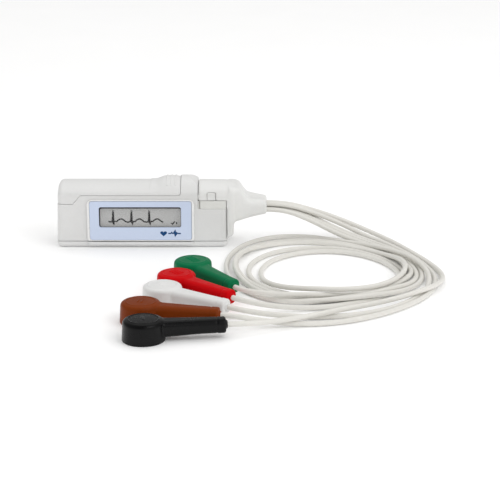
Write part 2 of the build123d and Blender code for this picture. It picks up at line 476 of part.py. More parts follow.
# --------------------------------------------------------------------- wires
def wire(name, pts):
    vs = [Vector(*p) for p in pts]
    radii, turns = [], []
    for a, b, c in zip(vs, vs[1:], vs[2:]):
        turn = (b - a).get_angle(c - b)
        turns.append(turn)
        radii.append(0.45 * min((b - a).length, (c - b).length) / math.tan(math.radians(turn) / 2))
    path = FilletPolyline(*vs, radius=radii)
    start = Plane(origin=vs[0], z_dir=(vs[1] - vs[0]).normalized())
    tube = sweep(start * Circle(WIRE_D / 2), path=path)
    ideal = math.pi * WIRE_D ** 2 / 4 * path.length
    print(name, "points", len(pts), "length %.1f" % path.length, "volume ratio %.4f" % (tube.volume / ideal),
          "tightest radius %.1f" % min(radii), "radii", [round(r, 1) for r in radii])
    save(name, tube)


for colour, pts in ROUTES.items():
    wire("lead_wire_" + colour, pts)

# --------------------------------------------------------------------- clips
def clip(colour, head, end):
    hx, hy = head
    ex, ey = end
    ang = math.degrees(math.atan2(ey - hy, ex - hx))
    reach = math.hypot(ex - hx, ey - hy)
    place = Pos(hx, hy, 0) * Rot(0, 0, ang)
    # head: a round button, slightly narrower at the top
    body = Pos(0, 0, CLIP_H / 2) * Cone(CLIP_R, CLIP_R - 0.4, CLIP_H)
    body = fillet(body.edges().sort_by(Axis.Z)[-1:], 1.3)

    def ring(x, w, z0, z1, r):
        pl = Plane(origin=(x, 0, (z0 + z1) / 2), x_dir=(0, 1, 0), z_dir=(1, 0, 0))
        return pl * RectangleRounded(w, z1 - z0, r)

    tail = loft([ring(3.5, 8.6, 1.0, 6.5, 1.8), ring(9.5, 7.0, 1.35, 6.5, 2.0), ring(16.5, 5.5, STEM_Z - 2.5, STEM_Z + 2.4, 2.1),
                 ring(reach, 4.9, STEM_Z - 2.35, STEM_Z + 2.35, 2.2)])
    body = body + tail
    body -= cyl_z(0, 0, -1, 3.5, 3.0)
    save("clip_body_" + colour, place * body)
    socket = cyl_z(0, 0, 0.6, 3.5, 3.0) - cyl_z(0, 0, 0, 3.1, SNAP_R) - cyl_z(0, 0, 1.5, 2.1, 2.45)
    save("snap_socket_" + colour, place * socket)
    spring_ring = cyl_z(0, 0, 1.5, 2.1, 2.45) - cyl_z(0, 0, 1, 3, SNAP_R) - bx(-5, 0, -0.5, 0.5, 1, 3)
    save("snap_spring_" + colour, place * spring_ring)


for colour, (head, end) in CLIPS.items():
    clip(colour, head, end)
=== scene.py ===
import bpy
import json
import math
import numpy as np
from mathutils import Vector, Matrix


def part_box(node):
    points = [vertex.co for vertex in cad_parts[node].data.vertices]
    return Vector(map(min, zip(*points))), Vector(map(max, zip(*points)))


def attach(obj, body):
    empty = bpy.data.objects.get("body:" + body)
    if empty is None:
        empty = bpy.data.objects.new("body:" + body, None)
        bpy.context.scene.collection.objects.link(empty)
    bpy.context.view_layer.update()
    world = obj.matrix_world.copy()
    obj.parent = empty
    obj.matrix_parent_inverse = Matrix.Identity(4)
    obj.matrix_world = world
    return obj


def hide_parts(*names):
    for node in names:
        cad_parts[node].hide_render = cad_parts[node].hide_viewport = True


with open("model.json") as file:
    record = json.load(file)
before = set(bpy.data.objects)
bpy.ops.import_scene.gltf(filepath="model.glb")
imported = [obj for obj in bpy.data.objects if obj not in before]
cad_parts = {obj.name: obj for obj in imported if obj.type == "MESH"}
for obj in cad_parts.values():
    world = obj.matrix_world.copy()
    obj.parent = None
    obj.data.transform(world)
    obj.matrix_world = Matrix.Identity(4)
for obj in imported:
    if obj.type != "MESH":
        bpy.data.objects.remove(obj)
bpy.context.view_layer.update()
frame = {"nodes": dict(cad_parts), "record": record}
nodes = frame["nodes"]
MM = 0.001
scene = bpy.context.scene


# ------------------------------------------------------------------ materials
def srgb(r, g, b):
    out = []
    for c in (r, g, b):
        c /= 255.0
        out.append(c / 12.92 if c <= 0.04045 else ((c + 0.055) / 1.055) ** 2.4)
    return (*out, 1.0)


def scaled(c, k):
    return (min(c[0] * k, 1), min(c[1] * k, 1), min(c[2] * k, 1), 1.0)


class Graph:
    """A material's node tree with short calls."""

    def __init__(self, name):
        self.m = bpy.data.materials.new(name)
        self.m.use_nodes = True
        self.t = self.m.node_tree
        self.bsdf = self.t.nodes["Principled BSDF"]
        self.obj = self.new("ShaderNodeTexCoord").outputs["Object"]

    def new(self, kind, **props):
        n = self.t.nodes.new(kind)
        for k, v in props.items():
            setattr(n, k, v)
        return n

    def link(self, a, b):
        self.t.links.new(a, b)
        return b

    def noise(self, scale, detail=3.0, rough=0.5, vec=None):
        n = self.new("ShaderNodeTexNoise")
        n.inputs["Scale"].default_value = scale
        n.inputs["Detail"].default_value = detail
        n.inputs["Roughness"].default_value = rough
        self.link(vec or self.obj, n.inputs["Vector"])
        return n.outputs["Fac"]

    def voronoi(self, scale, feature="F1", vec=None, output="Distance"):
        n = self.new("ShaderNodeTexVoronoi", feature=feature)
        n.inputs["Scale"].default_value = scale
        self.link(vec or self.obj, n.inputs["Vector"])
        return n.outputs[output]

    def remap(self, value, a, b, lo=0.0, hi=1.0):
        n = self.new("ShaderNodeMapRange")
        n.inputs["From Min"].default_value = a
        n.inputs["From Max"].default_value = b
        n.inputs["To Min"].default_value = lo
        n.inputs["To Max"].default_value = hi
        self.link(value, n.inputs["Value"])
        return n.outputs["Result"]

    def math(self, op, a, b=None):
        n = self.new("ShaderNodeMath", operation=op)
        for i, v in enumerate((a, b)):
            if v is None:
                continue
            if isinstance(v, (int, float)):
                n.inputs[i].default_value = v
            else:
                self.link(v, n.inputs[i])
        return n.outputs[0]

    def mix(self, fac, a, b, mode="MIX"):
        n = self.new("ShaderNodeMix", data_type="RGBA", blend_type=mode)
        for sock, v in ((n.inputs[0], fac), (n.inputs[6], a), (n.inputs[7], b)):
            if isinstance(v, (int, float)):
                sock.default_value = v
            elif isinstance(v, tuple):
                sock.default_value = v
            else:
                self.link(v, sock)
        return n.outputs[2]

    def bump(self, height, strength, distance, normal=None):
        n = self.new("ShaderNodeBump")
        n.inputs["Strength"].default_value = strength
        n.inputs["Distance"].default_value = distance
        self.link(height, n.inputs["Height"])
        if normal is not None:
            self.link(normal, n.inputs["Normal"])
        return n.outputs["Normal"]


def moulded(name, colour, rough=0.42, grain=2600.0, depth=0.00001, vary=0.04, spec=0.5, coat=0.0,
            rough_vary=0.08, tint=None):
    """Moulded plastic: fine spark texture, flow variation in the colour, uneven gloss."""
    g = Graph(name)
    broad = g.noise(55.0, 4.0, 0.6)
    fine = g.noise(grain * 0.35, 2.0)
    dark = scaled(colour, 1 - vary)
    if tint is not None:
        dark = tuple(a * b for a, b in zip(dark[:3], tint)) + (1.0,)
    col = g.mix(g.remap(broad, 0.35, 0.68), dark, scaled(colour, 1 + vary * 0.5))
    col = g.mix(g.remap(fine, 0.42, 0.62, 0.0, 0.35), col, scaled(colour, 1 - vary * 1.6))
    g.link(col, g.bsdf.inputs["Base Color"])
    g.link(g.remap(g.noise(210.0, 4.0, 0.6), 0.3, 0.7, rough - rough_vary, rough + rough_vary),
           g.bsdf.inputs["Roughness"])
    grainy = g.math("ADD", g.noise(grain, 2.0, 0.55), g.math("MULTIPLY", g.voronoi(grain * 0.8), 0.5))
    g.link(g.bump(grainy, 0.5, depth), g.bsdf.inputs["Normal"])
    g.bsdf.inputs["Specular IOR Level"].default_value = spec
    if coat:
        g.bsdf.inputs["Coat Weight"].default_value = coat
        g.bsdf.inputs["Coat Roughness"].default_value = 0.18
    return g.m


def metal(name, colour, rough=0.3, brushed=(1, 1, 1)):
    g = Graph(name)
    mp = g.new("ShaderNodeMapping")
    mp.inputs["Scale"].default_value = brushed
    g.link(g.obj, mp.inputs["Vector"])
    streak = g.noise(1800.0, 3.0, 0.6, mp.outputs["Vector"])
    g.link(g.mix(g.remap(streak, 0.3, 0.7), scaled(colour, 0.86), colour), g.bsdf.inputs["Base Color"])
    g.link(g.remap(streak, 0.3, 0.7, rough - 0.08, rough + 0.1), g.bsdf.inputs["Roughness"])
    g.bsdf.inputs["Metallic"].default_value = 1.0
    g.link(g.bump(streak, 0.3, 0.000006), g.bsdf.inputs["Normal"])
    return g.m


CASE = srgb(220, 220, 219)
MAT = {
    "case": moulded("m_case", CASE, 0.44, vary=0.02),
    "cover": moulded("m_cover", scaled(CASE, 1.03), 0.46, vary=0.02),
    # painted highlight: the display ring is the case white made 17 % brighter, standing in for the light its rounded
    # rim catches
    "frame_white": moulded("m_frame_white_painted_highlight", scaled(CASE, 1.17), 0.3, vary=0.012),
    "plug_white": moulded("m_plug_white", srgb(225, 225, 223), 0.4, vary=0.02),
    "wire_white": moulded("m_wire_white", srgb(221, 219, 213), 0.4, grain=1800.0, depth=0.000004, vary=0.03),
    "panel_blue": moulded("m_panel_blue", srgb(201, 213, 235), 0.34, grain=3500.0, depth=0.000004, vary=0.015),
    "clip_black": moulded("m_clip_black", srgb(6, 6, 7), 0.3, vary=0.2, depth=0.000008, spec=0.2),
    "clip_brown": moulded("m_clip_brown", srgb(121, 51, 10), 0.38, vary=0.06, depth=0.000008, spec=0.08),
    "clip_white": moulded("m_clip_white", srgb(221, 221, 220), 0.36, vary=0.03, depth=0.000012),
    "clip_green": moulded("m_clip_green", srgb(0, 110, 68), 0.38, vary=0.06, depth=0.000008, spec=0.1),
    "clip_red": moulded("m_clip_red", srgb(196, 0, 8), 0.38, vary=0.05, depth=0.000008, spec=0.05),
    "white_plastic": moulded("m_white_plastic", srgb(222, 222, 218), 0.45),
    "board_green": moulded("m_board_green", srgb(28, 92, 58), 0.35, vary=0.12),
    "chip_black": moulded("m_chip_black", srgb(30, 30, 32), 0.5, vary=0.15),
    "rubber_grey": moulded("m_rubber_grey", srgb(120, 121, 122), 0.7, vary=0.08),
    "key_grey": moulded("m_key_grey", srgb(150, 156, 166), 0.5),
    "cell": moulded("m_cell", srgb(60, 78, 96), 0.35),
    "label": moulded("m_label", srgb(236, 236, 233), 0.4),
    "lcd": moulded("m_lcd", srgb(168, 168, 168), 0.35, vary=0.02),
    "window": moulded("m_window", srgb(168, 168, 168), 0.2, vary=0.02),
    "steel": metal("m_steel", (0.62, 0.62, 0.63, 1)),
    "nickel": metal("m_nickel", (0.66, 0.64, 0.60, 1)),
    "brass": metal("m_brass", (0.78, 0.62, 0.33, 1)),
}


def cell_jacket():
    """Foil jacket in two bands with a thin pale ring between them and a bare metal button end."""
    g = Graph("m_cell_jacket")
    (cx0, _, _), (cx1, _, _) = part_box("battery_cell")
    sep = g.new("ShaderNodeSeparateXYZ")
    g.link(g.obj, sep.inputs[0])
    x = sep.outputs["X"]
    wear = g.noise(420.0, 4.0, 0.6)
    at = lambda f: cx0 + (cx1 - cx0) * f
    band = g.remap(x, at(0.330), at(0.331))
    col = g.mix(band, srgb(178, 120, 62), srgb(34, 36, 40))
    ring = g.math("MULTIPLY", g.remap(x, at(0.318), at(0.319)), g.remap(x, at(0.335), at(0.336), 1.0, 0.0))
    col = g.mix(ring, col, srgb(214, 214, 208))
    bare = g.remap(x, at(0.024), at(0.025), 1.0, 0.0)
    col = g.mix(bare, col, (0.62, 0.62, 0.60, 1))
    col = g.mix(g.remap(wear, 0.35, 0.7, 0.0, 0.18), col, srgb(120, 118, 116))
    g.link(col, g.bsdf.inputs["Base Color"])
    g.link(g.remap(x, at(0.024), at(0.025), 0.95, 0.35), g.bsdf.inputs["Metallic"])
    g.link(g.remap(wear, 0.3, 0.7, 0.24, 0.4), g.bsdf.inputs["Roughness"])
    return g.m


MAT["cell"] = cell_jacket()
slot_of = {s["node"]: s["material_slot"] for s in frame["record"]["subparts"]}
for name, o in nodes.items():
    slot = slot_of.get(name)
    if slot in MAT:
        o.data.materials.clear()
        o.data.materials.append(MAT[slot])
    else:
        print("no slot for", name, slot)

# ------------------------------------------------------------------ shaping
def smin(a, b, k):
    h = np.clip(0.5 + 0.5 * (b - a) / k, 0, 1)
    return b * (1 - h) + a * h - k * h * (1 - h)


def smax(a, b, k):
    return -smin(-a, -b, k)


def rbox(px, py, pz, hx, hy, hz, r):
    """Distance to a rounded box centred on the origin."""
    qx, qy, qz = np.abs(px) - (hx - r), np.abs(py) - (hy - r), np.abs(pz) - (hz - r)
    out = np.sqrt(np.maximum(qx, 0) ** 2 + np.maximum(qy, 0) ** 2 + np.maximum(qz, 0) ** 2)
    return out + np.minimum(np.maximum(np.maximum(qx, qy), qz), 0) - r


def rrect(pa, pb, ha, hb, r):
    """Distance to a rounded rectangle, whose half sizes and radius may vary from point to point."""
    qa, qb = np.abs(pa) - (ha - r), np.abs(pb) - (hb - r)
    return np.hypot(np.maximum(qa, 0), np.maximum(qb, 0)) + np.minimum(np.maximum(qa, qb), 0) - r


def step(a, b, t):
    x = np.clip((t - a) / (b - a), 0, 1)
    return x * x * (3 - 2 * x)


def surface(fn, lo, hi, cell):
    """Vertices and quads of the surface where fn, negative inside, is zero. Millimetres."""
    lo, hi = np.array(lo, float), np.array(hi, float)
    n = np.ceil((hi - lo) / cell).astype(int) + 1
    ax = [lo[i] + cell * np.arange(n[i]) for i in range(3)]
    grid = np.meshgrid(*ax, indexing="ij")
    v = fn(*grid)
    inside = v < 0
    m = n - 1
    offs = [(i, j, k) for i in (0, 1) for j in (0, 1) for k in (0, 1)]

    def corner(a, o):
        return a[o[0]:o[0] + m[0], o[1]:o[1] + m[1], o[2]:o[2] + m[2]]

    count = sum(corner(inside, o).astype(int) for o in offs)
    active = (count > 0) & (count < 8)
    acc = np.zeros((*m, 3))
    num = np.zeros(m)
    for a in offs:
        for axis in range(3):
            if a[axis]:
                continue
            b = tuple(1 if i == axis else a[i] for i in range(3))
            va, vb = corner(v, a), corner(v, b)
            cross = (va < 0) != (vb < 0)
            t = np.where(cross, va / np.where(cross, va - vb, 1), 0)
            for i in range(3):
                acc[..., i] += np.where(cross, a[i] + (t if i == axis else 0), 0)
            num += cross
    index = -np.ones(m, int)
    index[active] = np.arange(active.sum())
    ijk = np.argwhere(active)
    pts = lo + cell * (ijk + acc[active] / num[active][:, None])
    quads = []
    for axis in range(3):
        u, w = [(1, 2), (2, 0), (0, 1)][axis]
        sl_a = [slice(1, m[i]) for i in range(3)]
        sl_a[axis] = slice(0, m[axis])
        sl_b = list(sl_a)
        sl_b[axis] = slice(1, m[axis] + 1)
        sa, sb = inside[tuple(sl_a)], inside[tuple(sl_b)]
        for flip, where in ((False, sa & ~sb), (True, ~sa & sb)):
            at = np.argwhere(where)
            if not len(at):
                continue
            at = at + np.array([0 if i == axis else 1 for i in range(3)])
            cells = []
            for du, dw in ((-1, -1), (0, -1), (0, 0), (-1, 0)):
                c = at.copy()
                c[:, u] += du
                c[:, w] += dw
                cells.append(index[c[:, 0], c[:, 1], c[:, 2]])
            q = np.stack(cells, 1)
            quads.append(q[:, ::-1] if flip else q)
    quads = np.concatenate(quads)
    quads = quads[(quads >= 0).all(1)]

    def grad(p, h):
        out = np.empty_like(p)
        for i in range(3):
            d = np.zeros(3)
            d[i] = h
            out[:, i] = (fn(*(p + d).T) - fn(*(p - d).T)) / (2 * h)
        return out

    def project(p, times):
        for _ in range(times):
            g_, f_ = grad(p, cell * 0.08), fn(*p.T)
            s_ = f_ / np.maximum((g_ ** 2).sum(1), 0.05)
            s_ = np.clip(s_, -cell * 0.6, cell * 0.6)
            p = p - g_ * s_[:, None]
        return p

    pts = project(pts, 2)
    ea = np.concatenate([quads[:, 0], quads[:, 1], quads[:, 2], quads[:, 3]])
    eb = np.concatenate([quads[:, 1], quads[:, 2], quads[:, 3], quads[:, 0]])
    deg = np.bincount(ea, minlength=len(pts)).astype(float)
    for _ in range(4):
        mean = np.stack([np.bincount(ea, pts[eb, i], len(pts)) for i in range(3)], 1) / deg[:, None]
        nrm = grad(pts, cell * 0.08)
        nrm /= np.maximum(np.linalg.norm(nrm, axis=1), 1e-9)[:, None]
        d = mean - pts
        d -= nrm * (d * nrm).sum(1)[:, None]
        pts = project(pts + 0.5 * d, 1)
    return pts, quads


def piece(name, pts, faces, body, material, smooth=True):
    """A mesh object from points in millimetres, riding on a body."""
    me = bpy.data.meshes.new(name)
    me.from_pydata((np.asarray(pts) * MM).tolist(), [], [list(map(int, f)) for f in faces])
    me.validate()
    if smooth:
        me.shade_smooth()
    o = bpy.data.objects.new(name, me)
    scene.collection.objects.link(o)
    me.materials.append(material)
    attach(o, body)
    return o


# ------------------------------------------------------------------ patient wires
# <routes>
CLIPS = {
    "green": ((20.42, -46.26), (35.20, -67.88)),
    "red": ((15.28, -61.25), (34.46, -79.10)),
    "white": ((11.18, -74.41), (33.06, -88.82)),
    "brown": ((5.01, -91.80), (30.70, -96.95)),
    "black": ((6.94, -108.96), (32.96, -105.88)),
}
ROUTES = {
    "black": [
        (46.90, 1.00, 14.95), (53.40, 1.00, 14.90), (63.08, 4.10, 11.67), (74.95, 7.17, 6.84),
        (86.45, 5.47, 2.25), (94.44, -3.66, 0.88), (99.84, -16.16, 0.91), (104.97, -28.73, 0.90),
        (108.73, -41.44, 0.90), (108.21, -54.38, 1.88), (102.20, -65.86, 3.09), (92.17, -74.54, 2.74),
        (80.76, -81.32, 2.33), (69.81, -88.40, 2.87), (58.86, -95.41, 2.95), (47.41, -100.66, 3.08),
        (38.13, -105.14, 3.90), (32.96, -105.88, 4.10),
    ],
    "brown": [
        (46.90, -1.00, 14.95), (53.40, -1.00, 14.90), (63.64, 2.14, 11.18), (74.95, 4.84, 5.76),
        (85.16, 1.77, 1.31), (92.98, -7.92, 0.86), (98.96, -20.15, 0.95), (103.62, -32.74, 0.90),
        (106.16, -45.50, 0.90), (104.90, -58.32, 0.90), (99.66, -70.43, 0.90), (91.20, -80.91, 0.90),
        (80.90, -89.50, 0.90), (69.37, -95.40, 0.92), (56.88, -97.17, 0.87), (44.87, -96.38, 1.84),
        (35.86, -97.61, 3.90), (30.70, -96.95, 4.10),
    ],
    "white": [
        (46.90, 2.00, 13.05), (53.40, 2.00, 13.00), (62.40, 3.44, 9.63), (74.01, 3.09, 3.95),
        (85.17, -2.54, 0.89), (93.60, -13.32, 0.90), (99.34, -26.29, 0.90), (102.18, -39.95, 0.90),
        (100.66, -53.27, 0.89), (93.70, -64.86, 1.45), (82.41, -73.39, 2.91), (68.81, -77.57, 2.74),
        (55.28, -76.60, 1.29), (44.01, -69.86, 0.89), (36.42, -58.73, 0.91), (32.53, -45.46, 0.90),
        (31.78, -31.45, 0.90), (34.02, -17.51, 0.90), (39.91, -5.09, 0.90), (49.89, 2.85, 0.90),
        (62.07, 3.30, 0.90), (74.17, -2.71, 0.90), (84.89, -11.92, 1.91), (93.91, -22.81, 3.08),
        (100.97, -34.79, 3.21), (104.08, -47.79, 2.09), (102.04, -60.87, 0.90), (95.73, -72.80, 0.90),
        (86.45, -82.57, 0.90), (74.57, -88.44, 0.90), (61.04, -90.19, 0.89), (47.76, -90.70, 1.91),
        (37.50, -91.56, 3.90), (33.06, -88.82, 4.10),
    ],
    "green": [
        (46.90, 0.00, 13.05), (53.40, 0.00, 13.00), (63.19, 1.49, 9.00), (74.91, 0.79, 3.21),
        (85.38, -5.42, 0.84), (93.17, -16.67, 0.95), (98.42, -30.11, 0.90), (100.28, -44.01, 0.90),
        (97.09, -56.94, 1.67), (88.17, -67.39, 3.02), (75.38, -74.23, 2.56), (61.56, -75.51, 1.32),
        (49.30, -69.64, 0.83), (40.25, -58.65, 1.01), (35.25, -45.19, 2.18), (35.03, -30.81, 3.09),
        (39.55, -17.41, 2.06), (48.54, -7.50, 0.90), (60.81, -3.96, 0.90), (73.49, -7.56, 0.89),
        (84.23, -16.22, 0.98), (92.02, -27.83, 2.65), (95.88, -41.14, 4.87), (94.57, -54.95, 5.03),
        (87.29, -66.57, 4.50), (75.40, -73.07, 4.76), (62.23, -72.38, 4.75), (51.25, -64.78, 2.85),
        (44.85, -52.57, 1.12), (44.13, -38.46, 0.89), (49.60, -25.57, 0.91), (60.40, -17.22, 0.90),
        (73.51, -16.16, 0.90), (84.96, -22.97, 0.90), (92.28, -35.09, 0.90), (94.41, -48.84, 0.91),
        (89.46, -60.97, 0.88), (78.37, -69.15, 1.65), (64.64, -73.40, 2.98), (49.98, -74.41, 3.50),
        (38.31, -72.06, 3.90), (35.20, -67.88, 4.10),
    ],
    "red": [
        (46.90, -2.00, 13.05), (53.40, -2.00, 13.00), (63.21, -0.51, 8.66), (74.52, -1.13, 2.77),
        (84.51, -7.45, 0.87), (92.00, -18.73, 0.91), (96.91, -32.06, 0.88), (98.31, -45.61, 2.10),
        (93.83, -58.08, 3.13), (84.22, -68.08, 2.04), (71.74, -73.69, 0.87), (58.55, -72.63, 0.91),
        (47.45, -65.10, 0.90), (39.88, -53.31, 0.90), (35.79, -39.49, 0.90), (35.35, -25.27, 0.90),
        (40.09, -12.44, 0.90), (50.08, -3.87, 0.90), (63.12, -2.02, 0.90), (76.24, -6.82, 0.90),
        (87.17, -16.49, 0.89), (94.50, -29.14, 1.74), (96.58, -42.94, 3.00), (91.86, -55.50, 2.89),
        (81.98, -64.85, 1.66), (69.53, -69.99, 0.90), (56.71, -68.77, 0.90), (46.12, -60.67, 0.90),
        (40.21, -47.94, 0.90), (40.07, -33.70, 0.90), (45.88, -20.99, 0.90), (56.62, -12.91, 0.90),
        (69.82, -11.86, 0.90), (82.28, -17.93, 0.90), (91.62, -28.92, 0.90), (96.13, -42.39, 0.90),
        (94.82, -55.92, 0.90), (87.53, -67.39, 0.90), (76.38, -75.84, 0.90), (63.16, -81.15, 0.90),
        (49.51, -82.72, 1.91), (38.40, -82.52, 3.90), (34.46, -79.10, 4.10),
    ],
}
# </routes>
COLOURS = list(ROUTES)


def patient_wire(colour):
    pts = ROUTES[colour]
    c = bpy.data.curves.new("patient_wire_" + colour, "CURVE")
    c.dimensions = "3D"
    s = c.splines.new("NURBS")
    s.points.add(len(pts) - 1)
    for p, (x, y, z) in zip(s.points, pts):
        p.co = (x * MM, y * MM, z * MM, 1)
    s.order_u = 3
    s.use_endpoint_u = True
    c.resolution_u = 12
    c.bevel_depth = 0.9 * MM
    c.bevel_resolution = 6
    c.use_fill_caps = True
    o = bpy.data.objects.new("patient_wire_" + colour, c)
    scene.collection.objects.link(o)
    c.materials.append(MAT["wire_white"])
    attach(o, "lead_set")
    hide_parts("lead_wire_" + colour)
    return o


# ------------------------------------------------------------------ snap clips
def clip_shape(length, bars):
    """Pinch clip in its own frame: head on the origin, stem along +x, table at z = 0."""
    def fn(x, y, z):
        r = np.hypot(x, y)
        crown = 7.22 - 0.28 * (r / 6.5) ** 2
        side = r - (6.95 - 0.05 * z)
        head = smax(smax(side, z - crown, 1.45), -z, 0.35)
        t = np.clip((x - 5.0) / (length - 5.0), 0, 1)
        hw = 3.5 - 1.0 * t ** 0.62 - 0.1 * t
        top = 6.5 - 0.12 * t
        low = 1.15 + 0.5 * np.clip(t * 1.6, 0, 1)
        zc, hh = (top + low) / 2, (top - low) / 2
        grow = 0.07 * step(length - 2.8, length - 2.5, x) - 0.07 * np.exp(-((x - length + 2.95) / 0.2) ** 2)
        stem = rrect(y, z - zc, hw + grow, hh + grow, 1.75)
        stem = smax(stem, x - length, 0.9)
        stem = smax(stem, -x, 0.5)
        lip = smax(np.hypot(y, z - 4.1) - 1.4, np.abs(x - length) - 0.5, 0.35)
        body = smin(head, stem, 0.45)
        body = smin(body, lip, 0.3)
        # raised ring and lead-position bars on the crown
        ring = np.hypot(r - 4.9, z - crown) - 0.17
        body = smin(body, ring, 0.12)
        for i in range(bars):
            bx_ = (i - (bars - 1) / 2) * 1.25
            bar = np.sqrt(np.maximum(np.abs(y) - 1.35, 0) ** 2 + (x - bx_) ** 2 + (z - crown) ** 2) - 0.24
            body = smin(body, bar, 0.1)
        pocket = np.maximum(r - 3.03, z - 3.5)
        return smax(body, -pocket, 0.08)
    return fn


def clip(colour, bars):
    (hx, hy), (sx, sy) = CLIPS[colour]
    length = math.hypot(sx - hx, sy - hy)
    a = math.atan2(sy - hy, sx - hx)
    pts, quads = surface(clip_shape(length, bars), (-7.6, -7.6, -0.5), (length + 1.2, 7.6, 8.0), 0.24)
    ca, sa = math.cos(a), math.sin(a)
    out = np.stack([hx + pts[:, 0] * ca - pts[:, 1] * sa, hy + pts[:, 0] * sa + pts[:, 1] * ca,
                    np.maximum(pts[:, 2], 0)], 1)
    o = piece("clip_" + colour, out, quads, "lead_set", MAT["clip_" + colour])
    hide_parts("clip_body_" + colour)
    return o


BARS = {"black": 1, "brown": 2, "white": 3, "red": 4, "green": 5}
LEADS = {colour: (patient_wire(colour), clip(colour, BARS[colour])) for colour in COLOURS}

# ------------------------------------------------------------------ display frame
(fx0, fy0, fz0), (fx1, fy1, fz1) = [[c / MM for c in p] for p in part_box("display_frame")]
(pnx0, pny0, pnz0), (pnx1, pny1, pnz1) = [[c / MM for c in p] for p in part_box("front_panel")]


def bezel_shape(x, y, z):
    """Ring with a rounded pillow front, narrow inner lip and soft outer corners."""
    cx, cz, hx, hz = (fx0 + fx1) / 2, (fz0 + fz1) / 2, (fx1 - fx0) / 2, (fz1 - fz0) / 2
    r = 1.1 + 1.0 * step(cz - 2, cz + 2, z)
    out = rrect(x - cx, z - cz, hx, hz, r)
    front = fy0 - y
    # the rim falls away from the inner lip to the outer wall
    solid = smax(out, front + 0.10 * np.clip(1 + out / 0.6, 0, 1) ** 2, 1.05)
    inner = rrect(x - (pnx0 + pnx1) / 2, z - (pnz0 + pnz1) / 2, (pnx1 - pnx0) / 2 + 0.09, (pnz1 - pnz0) / 2 + 0.09, 0.95)
    solid = smax(solid, -inner, 0.3)
    # undercut where the ring meets the case
    solid = np.maximum(solid, out + 0.32 * step(fy1 - 0.42, fy1 - 0.3, y))
    return np.maximum(solid, y - fy1)


pts, quads = surface(bezel_shape, (fx0 - 0.5, fy0 - 0.4, fz0 - 0.5), (fx1 + 0.5, fy1 + 0.4, fz1 + 0.5), 0.17)
bezel = piece("display_bezel", pts, quads, "recorder", MAT["frame_white"])
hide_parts("display_frame")

# ------------------------------------------------------------------ lead plug
(qx0, qy0, qz0), (qx1, qy1, qz1) = [[c / MM for c in p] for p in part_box("plug_front_shell")]
(_, _, _), (_, qy2, _) = [[c / MM for c in p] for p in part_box("plug_rear_shell")]
PYC = qy1
PX = 21.09
PTOP = 23.85


def table(points, soft=0.55):
    """Smooth curve through points as a lookup: linear, then blurred."""
    xs = np.arange(points[0][0] - 3, points[-1][0] + 3, 0.05)
    ys = np.interp(xs, [p[0] for p in points], [p[1] for p in points])
    k = np.exp(-0.5 * (np.arange(-40, 41) * 0.05 / soft) ** 2)
    ys = np.convolve(np.pad(ys, 40, "edge"), k / k.sum(), "valid")
    return lambda x: np.interp(x, xs, ys)


top_front = table([(32.0, 22.2), (34.2, 22.4), (35.7, 22.4), (36.6, 21.95), (37.5, 20.85), (38.35, 18.9), (39.5, 17.6),
                   (41.0, 17.05), (43.6, 16.75), (46.9, 16.55)], 0.4)
top_rear = table([(32.0, 22.3), (34.2, 22.6), (35.7, 22.65), (36.6, 22.1), (37.5, 20.95), (38.3, 19.8), (39.3, 18.75),
                  (40.6, 18.35), (43.3, 17.9), (46.9, 17.35)], 0.4)
low_edge = table([(32.0, 9.0), (34.6, 9.3), (36.8, 9.65), (41.4, 10.6), (46.9, 11.55)], 0.5)
half_w = table([(32.0, 7.9), (34.0, 8.1), (36.2, 7.35), (38.4, 6.1), (41.0, 5.2), (46.9, 4.1)], 0.7)


def box_sdf(x, y, z, x0, x1, y0, y1, z0, z1, r=0.0):
    return rbox(x - (x0 + x1) / 2, y - (y0 + y1) / 2, z - (z0 + z1) / 2, (x1 - x0) / 2, (y1 - y0) / 2, (z1 - z0) / 2, r)


